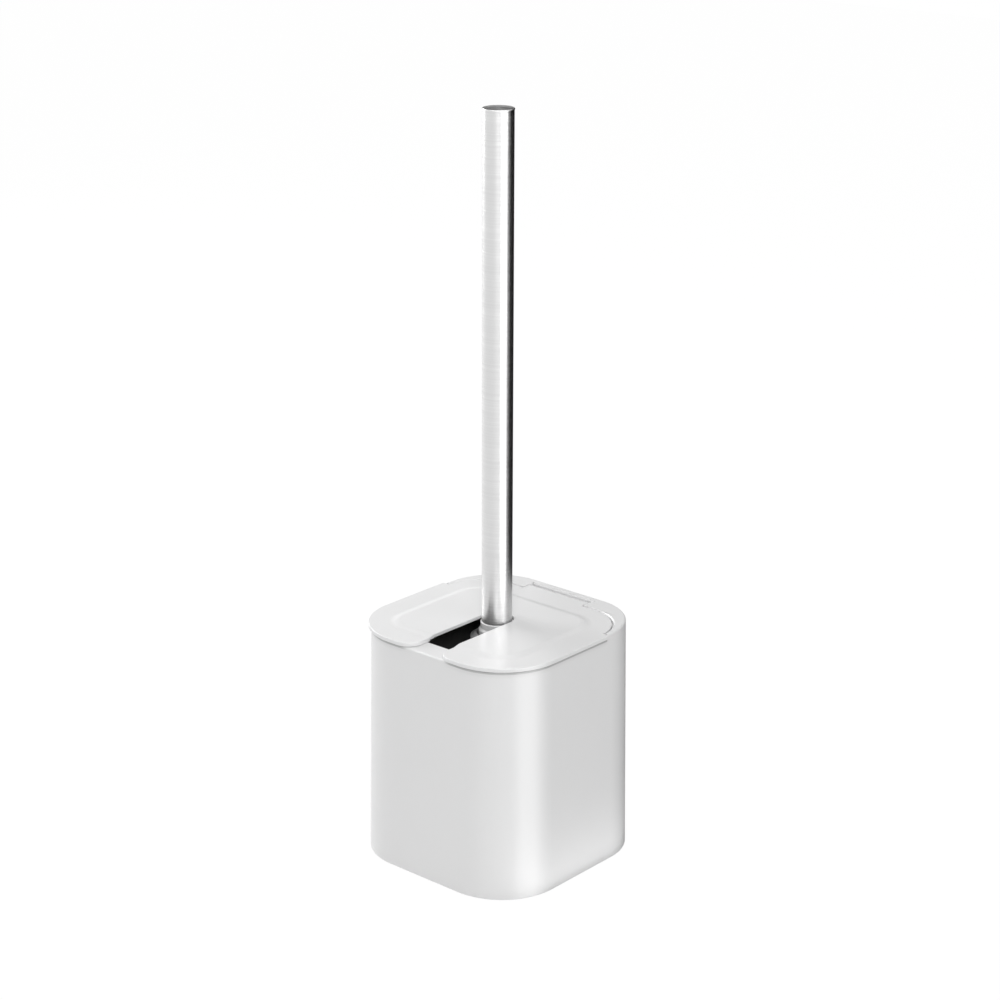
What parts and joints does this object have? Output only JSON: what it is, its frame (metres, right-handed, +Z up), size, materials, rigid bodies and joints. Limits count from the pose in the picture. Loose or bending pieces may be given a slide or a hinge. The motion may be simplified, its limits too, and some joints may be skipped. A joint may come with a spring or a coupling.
{
  "type": "toilet brush holder",
  "caption": "Free-standing toilet brush holder: rounded square sleeve over a dark cup, hinged lid with a slot, and a brush on a round steel pole that lifts out.",
  "frame": {"origin": "centre of the footprint on the floor", "axes": "+Z up, -Y toward the open mouth of the lid's slot, +Y toward the lid's hinge, +X to the right seen from the mouth"},
  "size_m": [0.117, 0.118, 0.398],
  "materials": {
    "white_plastic": "smooth moulded, soft gloss",
    "black_plastic": "smooth moulded",
    "light_plastic": "smooth moulded",
    "white_bristle": "fine straight filaments",
    "brushed_pole": "brushed round the pole",
    "plain_steel": "plain drawn",
    "grey_rubber": "matt"
  },
  "bodies": {
    "base": {"inner_cup": "black_plastic", "foot_pads": "grey_rubber"},
    "housing": {"outer_shell": "white_plastic", "hinge_pins": "plain_steel"},
    "cover": {"lid": "white_plastic"},
    "brush": {"pole_tube": "brushed_pole", "pole_end_cap": "brushed_pole", "tube_plug": "plain_steel", "pole_ferrule": "light_plastic", "brush_stud": "plain_steel", "brush_hub": "light_plastic", "side_bristles": "white_bristle", "end_bristles": "white_bristle"}
  },
  "joints": [
    {"name": "brush_lift", "type": "slide", "parent": "base", "child": "brush", "axis": [0, 0, 1], "range_m": [0, 0.1]},
    {"name": "shell_lift", "type": "slide", "parent": "base", "child": "housing", "axis": [0, 0, 1], "range_m": [0, 0.13]},
    {"name": "lid_hinge", "type": "hinge", "parent": "housing", "child": "cover", "pos_m": [0, 0.0484, 0.1261], "axis": [-1, 0, 0], "range_deg": [0, 110]}
  ],
  "couplings": [
    {"joint": "lid_hinge", "follows": "brush_lift", "rad_per_m": 19.19}
  ]
}
